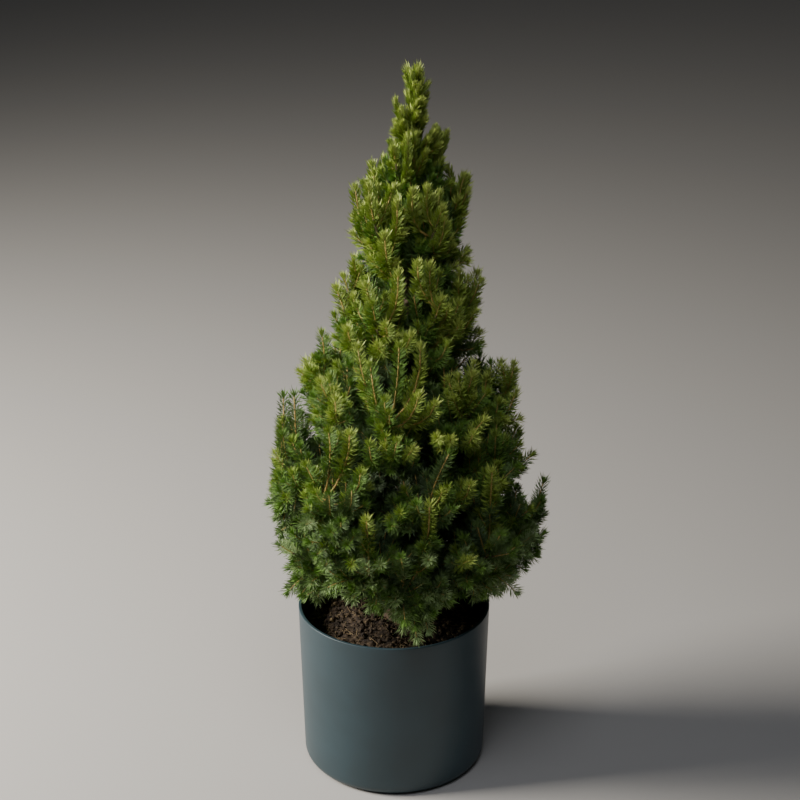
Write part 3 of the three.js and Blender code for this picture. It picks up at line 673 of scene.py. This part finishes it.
# The strongest shoots that the photograph shows, measured on it: the tip and the foot of each brush.
# Each grows from the nearest limb or from the trunk.
UPRIGHT = [
    (3, 0, 782, 7, 0, 753),
    (9, -8, 773, 11, -7, 740),
    (46, 0, 739, 32, 0, 712),
    (19, -4, 815, 21, -3, 786),
    (29, -3, 813, 26, -2, 784),
    (24, -7, 795, 24, -4, 766),
    (18, -2, 790, 20, -1, 763),
    (29, 0, 788, 26, 0, 762),
    (24, 5, 811, 24, 4, 780),
    (21, -8, 774, 22, -5, 750),
    (28, -3, 768, 26, -2, 743),
    (-6, 5, 712, 5, 4, 675),
    (4, -14, 710, 9, -12, 672),
    (49, -5, 712, 41, -4, 670),
    (74, 5, 696, 60, 4, 635),
    (-40, 0, 685, -33, 0, 611),
    (-25, -17, 691, -20, -14, 648),
    (-13, 12, 687, -9, 10, 641),
    (15, -27, 747, 16, -37, 698),
    (4, -58, 685, 7, -51, 636),
    (35, -51, 698, 32, -46, 664),
    (76, 0, 614, 62, 0, 595),
    (-42, 5, 599, -32, 4, 576),
    (-53, 0, 587, -35, 0, 527),
    (-28, -59, 596, -15, -58, 545),
    (5, -74, 614, 7, -65, 558),
    (89, 0, 591, 77, 0, 527),
    (-63, -7, 546, -46, -6, 502),
    (-78, 5, 521, -72, 4, 475),
    (-48, -56, 548, -44, -41, 515),
    (-84, 0, 480, -73, 0, 462),
    (-92, 7, 455, -83, 6, 417),
    (-88, -24, 451, -72, -20, 389),
    (-124, 5, 448, -122, 4, 372),
    (-109, -12, 456, -106, -10, 383),
    (-144, 0, 370, -132, 0, 332),
    (-157, -7, 324, -131, -6, 315),
    (-37, -75, 534, -31, -79, 478),
    (-24, -89, 520, -16, -102, 455),
    (6, -92, 542, 6, -88, 493),
    (18, -90, 553, 13, -74, 521),
    (28, -90, 541, 32, -90, 487),
    (26, -117, 497, 20, -106, 459),
    (56, -76, 538, 45, -73, 503),
    (93, -5, 513, 76, -4, 499),
    (84, -61, 510, 68, -77, 450),
    (117, 7, 486, 102, 6, 448),
    (131, 0, 486, 126, 0, 445),
    (133, -14, 459, 119, -12, 408),
    (135, -5, 413, 118, -4, 356),
    (153, 0, 379, 132, 0, 355),
    (168, 0, 347, 156, 0, 292),
    (168, -7, 285, 153, -6, 265),
    (95, -96, 462, 70, -88, 424),
    (58, -132, 439, 31, -120, 377),
    (104, -109, 408, 104, -79, 337),
    (4, -140, 455, -4, -116, 406),
    (-25, -138, 450, -23, -113, 397),
    (38, -153, 385, 40, -122, 310),
    (-67, -132, 392, -68, -100, 339),
    (-43, -143, 400, -43, -116, 354),
    (61, -148, 379, 50, -120, 354),
    (113, -128, 344, 106, -71, 291),
    (20, -141, 445, 11, -114, 419),
    (80, -148, 320, 61, -113, 294),
    (55, -133, 274, 46, -109, 269),
    (37, -133, 273, 34, -109, 274),
    (25, -133, 221, 21, -109, 249),
    (11, -126, 231, 14, -112, 256),
    (37, -126, 229, 32, -110, 255),
    (18, -128, 246, 18, -110, 262),
    (34, -130, 250, 30, -110, 263),
    (47, -126, 262, 42, -108, 270),
    (4, -128, 254, 8, -112, 266),
    (23, -132, 236, 22, -114, 258),
    (11, -133, 250, 14, -109, 262),
    (-116, -36, 234, -85, -30, 238),
    (-109, -36, 287, -91, -30, 292),
    (-61, -91, 483, -59, -83, 436),
    (-45, -127, 459, -44, -103, 409),
    (68, -57, 577, 62, -39, 538),
    (56, -69, 575, 56, -48, 549),
    (38, -70, 622, 36, -57, 583),
    (-9, -61, 652, -5, -52, 604),
    (53, -52, 667, 49, -43, 620),
    (-140, -19, 312, -121, -16, 315),
    (-148, 12, 330, -128, 10, 322),
    (-135, -7, 290, -115, -6, 292),
    (-137, -26, 361, -122, -22, 335),
    (-125, 7, 266, -104, 6, 272),
    (-127, -41, 340, -108, -34, 337),
    (-110, -56, 382, -103, -47, 348),
    (165, 10, 302, 149, 8, 278),
    (160, -12, 260, 143, -10, 255),
    (146, -22, 249, 129, -18, 253),
    (128, -29, 239, 114, -24, 246),
    (110, -41, 233, 97, -34, 240),
    (148, -41, 288, 132, -34, 279),
    (140, -41, 339, 129, -34, 308),
    (-98, -56, 233, -80, -47, 237),
    (-81, -135, 323, -71, -93, 312),
    (-93, -126, 355, -84, -84, 341),
    (-71, -133, 283, -58, -109, 281),
    (-43, -133, 269, -41, -109, 271),
    (-19, -133, 262, -17, -109, 267),
    (2, -133, 267, 3, -109, 269),
    (79, -133, 288, 74, -109, 287),
    (-92, -106, 414, -79, -81, 371),
    (-65, -147, 353, -58, -107, 328),
    (-2, -162, 364, 1, -128, 351),
    (7, -158, 378, 9, -126, 359),
    (-48, -157, 341, -47, -113, 324),
    (-14, -163, 319, -12, -124, 306),
    (-105, -36, 275, -98, -30, 282),
    (-72, -139, 311, -69, -92, 294),
    (-44, -155, 317, -45, -112, 305),
    (45, -132, 457, 49, -102, 436),
    (59, -128, 453, 57, -99, 431),
    (56, -142, 402, 56, -111, 375),
    (24, -154, 387, 30, -126, 352),
    (37, -163, 324, 39, -123, 313),
    (8, -166, 328, 13, -125, 297),
    (83, -75, 504, 73, -71, 463),
    (114, -29, 455, 110, -24, 415),
    (92, -141, 310, 88, -94, 293),
    (117, -41, 259, 110, -34, 261),
    (25, -73, 625, 24, -60, 593),
    (58, -29, 597, 43, -24, 587),
    (20, -55, 696, 15, -50, 655),
    (69, -61, 555, 62, -41, 531),
    (80, -5, 526, 70, -4, 512),
    (-8, -84, 562, -2, -69, 539),
    (-16, -86, 541, -10, -70, 519),
    (-28, -156, 369, -27, -123, 336),
    (-55, -148, 365, -55, -109, 329),
    (80, -130, 403, 78, -102, 362),
    (-9, -116, 492, -8, -104, 462),
    (-34, -141, 419, -33, -114, 379),
    (-67, -117, 457, -63, -88, 412),
    (43, -119, 489, 39, -102, 457),
    (83, -114, 453, 77, -86, 416),
]
bearers = np.concatenate([limb.at(np.linspace(0.25, 0.9, 14)) for limb in limbs])
bearers = np.concatenate([bearers, trunk_centre(np.linspace(200, 780, 80))])
for i, row in enumerate(UPRIGHT):
    tip, foot = np.array(row[:3], float), np.array(row[3:], float)
    below = foot - 0.25 * (tip - foot)
    start = bearers[np.linalg.norm(bearers - below - UP * 6, axis=1).argmin()]
    stalk = np.linalg.norm(foot - start)
    bare = 0.55 * stalk / (stalk + np.linalg.norm(tip - foot))
    number = FIRST_UPRIGHT + i
    shoots.append((start, foot, tip, bare, number))
    add_sides(start, foot, tip, 0.3, 0.66, int(stalk / 12) + 2, 22, 0.3, number, ANYWHERE, 1.0)

start, bend, tip, bare, seed = (np.array(column) for column in zip(*shoots))
# The furthest shoots are drawn in, to end inside the solids' own box.
for points in (start, bend, tip):
    points[:, 0] = np.interp(points[:, 0], [-165, -120, 200], [-142, -120, 200])
    points[:, 1] = np.interp(points[:, 1], [-170, -130, 125, 162], [-152, -130, 125, 151])
    points[:, 2] = np.interp(points[:, 2], [0, 740, 825], [0, 740, 814])
length = (2 * np.linalg.norm(tip - start, axis=1) + np.linalg.norm(bend - start, axis=1)
          + np.linalg.norm(tip - bend, axis=1)) / 3
tip_centre = trunk_centre(tip[:, 2])
tip_x, tip_y = tip[:, 0] - tip_centre[:, 0], tip[:, 1] - tip_centre[:, 1]
outer = np.hypot(tip_x, tip_y) / crown_reach(tip[:, 2], np.arctan2(tip_y, tip_x))
outer = np.clip(np.maximum(outer, (tip[:, 2] - 640) / 120), 0, 1)


def even_share(i, share):
    """The parabola's own parameter at an even share of its length. The speed along it goes from the
    first leg's length to the last leg's, in a straight line."""
    first, last = np.linalg.norm((bend - start)[i], axis=-1), np.linalg.norm((tip - bend)[i], axis=-1)
    return share * (first + last) / (first + np.sqrt(first**2 + (last**2 - first**2) * share))


def shoot_at(i, t):
    """Points on shoots i at parameters t of their parabolas."""
    t = t[..., None]
    return (1 - t) ** 2 * start[i] + 2 * t * (1 - t) * bend[i] + t**2 * tip[i]


# A twig's radius at its foot is this much, and this share of its length more.
TWIG_SIDES = 4
TWIG_RADIUS = 0.6
TWIG_GROWTH = 0.0065
# The share of the crown's reach outside which a shoot is young.
YOUNG_FROM = 0.6
ring_shares = np.linspace(0, 1, 5)
everyone = np.arange(len(shoots))
twig_paths = np.stack([shoot_at(everyone, even_share(everyone, s)) for s in ring_shares], 1)
twig_radii = (TWIG_RADIUS + TWIG_GROWTH * length)[:, None] * (1 - 0.5 * ring_shares)
# This year's bark is smooth and tan with a little sheen, and older bark is darker, browner and matt.
young_wood, tree, shader, place = surface("young_spruce_wood", 0.6)
mottled(tree, shader, place, 9, [(0.35, "#b08f4c"), (0.55, "#c9a963"), (0.7, "#967a42")])
grained(tree, shader, place, 1.0, 0.15)
old_wood, tree, shader, place = surface("second_year_spruce_wood", 0.75)
mottled(tree, shader, place, 6, [(0.35, "#5c4a32"), (0.6, "#86704c")])
grained(tree, shader, place, 1.0, 0.2)
FOLIAGE = [n for n in NODES if n.startswith("foliage_")]
young = outer > YOUNG_FROM
for name, chosen, material in (("young_twigs", young, young_wood), ("old_twigs", ~young, old_wood)):
    points, faces = tubes(twig_paths[chosen], twig_radii[chosen], TWIG_SIDES)
    piece(name, points, faces, material, FOLIAGE)

# NEEDLES
# Short stiff needles with a waxy skin, all round each shoot. They lean forward, close up into a
# blunt tuft over the bud, and sweep upward a little. This year's ends are paler than the rest.
# They are drawn larger and fewer than in life, and widest inside the crown, where they are fewest.
NEEDLE_LENGTH = 12.5
NEEDLE_WIDTH = 0.92
INNER_NEEDLE_WIDTH = 1.7
NEEDLES_PER_MM = 3.5
GOLDEN_TURN = 2.399963
LEAN_STRAY = 11.0
ROUND_STRAY = 0.2
CLOSING_LENGTH = 5.0
UPWARD_PULL = 0.1
# A needle is widest at this share of its length, and its keel stands up by this share of its width.
WIDEST_AT = 0.6
KEEL = 0.7
# The tuft: so many needles on the last few millimetres, all ending so far above the bud.
TUFT_NEEDLES = 22
TUFT_DEPTH = 4.0
TUFT_HEIGHT = 8.0
LEADER = limbs[-1].number

# Deep inside the crown, a shoot bears under a third as many needles as on the outside.
density = NEEDLES_PER_MM * np.clip(1.25 * outer - 0.2, 0.3, 1.0)
# The leading shoot and its neighbours are the densest.
density *= np.interp(tip[:, 2], [680, 750], [1, 1.6])
along_counts = (length * (1 - bare) * density).astype(int) + 4
counts = along_counts + TUFT_NEEDLES
own = np.repeat(everyone, counts)
order = np.arange(counts.sum()) - np.repeat(np.cumsum(counts) - counts, counts)
from_tip = order - along_counts[own]
in_tuft = from_tip >= 0
along = bare[own] + (1 - bare[own]) * np.minimum((order + 0.5) / along_counts[own], 1)
along[in_tuft] = (1 - TUFT_DEPTH / length[own] * (1 - from_tip / TUFT_NEEDLES))[in_tuft]
t = even_share(own, along)
axis = (1 - t)[:, None] * (bend - start)[own] + t[:, None] * (tip - bend)[own]
axis /= np.linalg.norm(axis, axis=1, keepdims=True)
upright = np.abs(axis[:, 2:]) > 0.98
side = np.cross(np.where(upright, [1.0, 0, 0], UP), axis)
side /= np.linalg.norm(side, axis=1, keepdims=True)
over = np.cross(axis, side)
draw = np.random.default_rng(7)
round_turn = GOLDEN_TURN * order + 6.28 * chance(seed[own], 1, 1)
round_turn += draw.normal(0, ROUND_STRAY, len(own))
# Towards the top of the plant the needles lie closer to the shoot and curve up along it.
spread = np.interp(tip[:, 2], [450, 740, 775], [70, 54, 34])[own]
sweep = np.interp(tip[:, 2], [560, 740], [0.2, 0.45])[own] * ~in_tuft
closing = np.exp(-(1 - along) * length[own] / CLOSING_LENGTH)
lean = np.radians(spread * (1 - 0.5 * closing) + draw.normal(0, LEAN_STRAY, len(own)))
lean[in_tuft] = np.radians(3 + 0.4 * spread * np.sqrt(draw.random(len(own))))[in_tuft]
size = NEEDLE_LENGTH * (0.84 + 0.16 * np.sin(np.pi * np.clip(along, 0, 0.75)))
size *= draw.uniform(0.76, 1.14, len(own))
# The short side shoots under the tip have shorter needles than the leading shoot, which has its
# longest below its bud.
leading = np.interp(tip[:, 2], [800, 808], [1.3, 0.92])
size *= np.where(seed // 1 == LEADER, leading, np.interp(tip[:, 2], [670, 740], [1, 0.72]))[own]
size[in_tuft] = ((TUFT_HEIGHT + TUFT_DEPTH * (1 - from_tip / TUFT_NEEDLES)) / np.cos(lean))[in_tuft]
outward = side * np.cos(round_turn)[:, None] + over * np.sin(round_turn)[:, None]
needle_way = axis * np.cos(lean)[:, None] + outward * np.sin(lean)[:, None]
needle_way += UP * np.where(in_tuft, 0.0, UPWARD_PULL)[:, None]
needle_way /= np.linalg.norm(needle_way, axis=1, keepdims=True)
needle_root = shoot_at(own, t)
flat = np.cross(needle_way, axis)
flat /= np.linalg.norm(flat, axis=1, keepdims=True)
thick = np.cross(flat, needle_way)
middle = needle_root + needle_way * (WIDEST_AT * size)[:, None]
needle_tip = needle_root + (needle_way * (1 - 0.4 * sweep)[:, None] + axis * sweep[:, None]) * size[:, None]
half = np.interp(outer[own], [0.4, 0.8], [INNER_NEEDLE_WIDTH / 2, NEEDLE_WIDTH / 2])[:, None]
corners = [middle + (KEEL * thick + flat) * half, middle + (KEEL * thick - flat) * half]
# No needle leaves the solids' own box.
box_low, box_high = (np.array(corner) * 1000 for corner in cad_box)
needle_points = np.clip(np.stack([needle_root, *corners, needle_tip], 1), box_low, box_high)
# Two faces each, folded along the keel from root to tip, with a corner on either side.
NEEDLE_FACES = np.array([[0, 3, 1], [0, 2, 3]])

# Tints are dealt out by shoot: darker deep inside the crown, fresher outside, at its foot and towards
# the top, and one step paler on the outer tufts. Inside the crown the darker tints are partly the older
# needles' own colour and partly painted shade, where the crown shades itself.
height_share = np.interp(tip[:, 2], [250, 340, 550, 750, 820], [0.14, 0.05, 0.26, 0.36, 0.5])
deal = 0.6 * outer + height_share + 0.3 * (chance(seed, 3, 2) - 0.5)
tint = np.digitize(deal, [0.36, 0.5, 0.62, 0.75])[own]
tint = np.minimum(tint + ((closing > 0.35) & (outer[own] > 0.6)), 5)
# Low on the plant the palest needles take a silvery tint instead of a yellow one: partly their own
# glaucous wax, and partly painted sheen, the bluish-white glint of the wax and the cool shade low down.
bloom_and_sheen = tip[:, 2] < 345 + 80 * (chance(seed, 4, 2) - 0.5)
tint[(tint >= 4) & bloom_and_sheen[own]] = 6
TINTS = [
    # The deep tint is partly the old inner needles' own dark green and partly painted shade.
    ("deep", "#3d4f32"),
    ("mature", "#546a44"),
    ("green", "#627d44"),
    ("fresh", "#6a8e3a"),
    ("pale", "#8da444"),
    ("tender", "#b2c260"),
    # The silvery tint is partly glaucous wax and partly painted bluish sheen and cool shade.
    ("silvery", "#8ba369"),
]
# The wax on a needle gives it a soft sheen. Each tint is one plain colour.
for i, (name, colour) in enumerate(TINTS):
    waxy, tree, shader, place = surface("waxy_needles_" + name, 0.45, IOR=1.45)
    shader.inputs["Base Color"].default_value = linear(colour)
    chosen = needle_points[tint == i]
    faces = (NEEDLE_FACES[None] + np.arange(len(chosen))[:, None, None] * 4).reshape(-1, 3)
    piece("needles_" + name, chosen.reshape(-1, 3), faces, waxy, FOLIAGE)

# STAGE
# A plain pale floor, one large soft light from the left, a weak one from the front, and a camera
# with a long lens, above the plant and looking down on it.
FLOOR_HALF = 6.0
floor_mesh = bpy.data.meshes.new("floor")
floor_corners = [(x * FLOOR_HALF, y * FLOOR_HALF, 0) for x, y in ((-1, -1), (1, -1), (1, 1), (-1, 1))]
floor_mesh.from_pydata(floor_corners, [], [(0, 1, 2, 3)])
floor = bpy.data.objects.new("floor", floor_mesh)
bpy.context.scene.collection.objects.link(floor)
# Painted board, pale and matt.
pale_floor, tree, shader, place = surface("pale_studio_floor", 0.8)
shader.inputs["Base Color"].default_value = linear("#b9b6b1")
floor_mesh.materials.append(pale_floor)


def soft_light(name, place, target, size, power, hex_colour):
    """A square area light that faces a target, both in metres."""
    data = bpy.data.lights.new(name, "AREA")
    data.size = size
    data.energy = power
    data.color = linear(hex_colour)[:3]
    light = bpy.data.objects.new(name, data)
    light.location = place
    way = np.array(target) - place
    light.rotation_euler = (np.arctan2(np.hypot(way[0], way[1]), -way[2]), 0, np.arctan2(-way[0], way[1]))
    bpy.context.scene.collection.objects.link(light)


soft_light("key", (-2.06, -0.05, 1.45), (0, 0, 0.42), 1.0, 134, "#fffaf2")
soft_light("fill", (-0.1, -0.9, 1.9), (0, 0, 0.6), 0.8, 10, "#f0f4ff")
world = bpy.data.worlds.new("studio")
bpy.context.scene.world = world
world.use_nodes = True
world.node_tree.nodes["Background"].inputs["Color"].default_value = linear("#c9ced4")
world.node_tree.nodes["Background"].inputs["Strength"].default_value = 0.06

CAMERA_PLACE = (0.007, -1.832, 1.188)
CAMERA_PITCH = 22.05
FOCAL_PIXELS = 1794.0
PHOTO_PIXELS = 800.0
SENSOR_MM = 36.0
camera_data = bpy.data.cameras.new("camera")
camera_data.sensor_width = SENSOR_MM
camera_data.lens = SENSOR_MM * FOCAL_PIXELS / PHOTO_PIXELS
camera = bpy.data.objects.new("camera", camera_data)
camera.location = CAMERA_PLACE
camera.rotation_euler = (np.radians(90 - CAMERA_PITCH), 0, 0)
bpy.context.scene.collection.objects.link(camera)
bpy.context.scene.camera = camera
